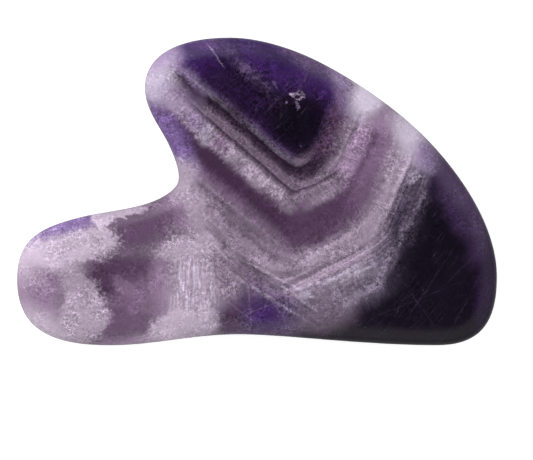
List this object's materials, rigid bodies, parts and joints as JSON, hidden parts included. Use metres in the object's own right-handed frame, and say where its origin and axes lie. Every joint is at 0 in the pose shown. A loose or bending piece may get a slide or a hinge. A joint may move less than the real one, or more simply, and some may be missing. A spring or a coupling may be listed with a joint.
{
  "type": "gua sha scraper",
  "caption": "Flat hand-held massage stone of banded amethyst, with a blunt thumb lobe, a notch, a rounded head and one long convex scraping edge.",
  "frame": {"origin": "centre of the stone's outline box, on the ground back face that it rests on", "axes": "+Z out of the front face, +X from the thumb tip towards the heel, +Y towards the head"},
  "size_m": [0.096, 0.0616, 0.009],
  "materials": {
    "amethyst": "polished"
  },
  "bodies": {
    "root": {"stone": "amethyst"}
  },
  "joints": []
}
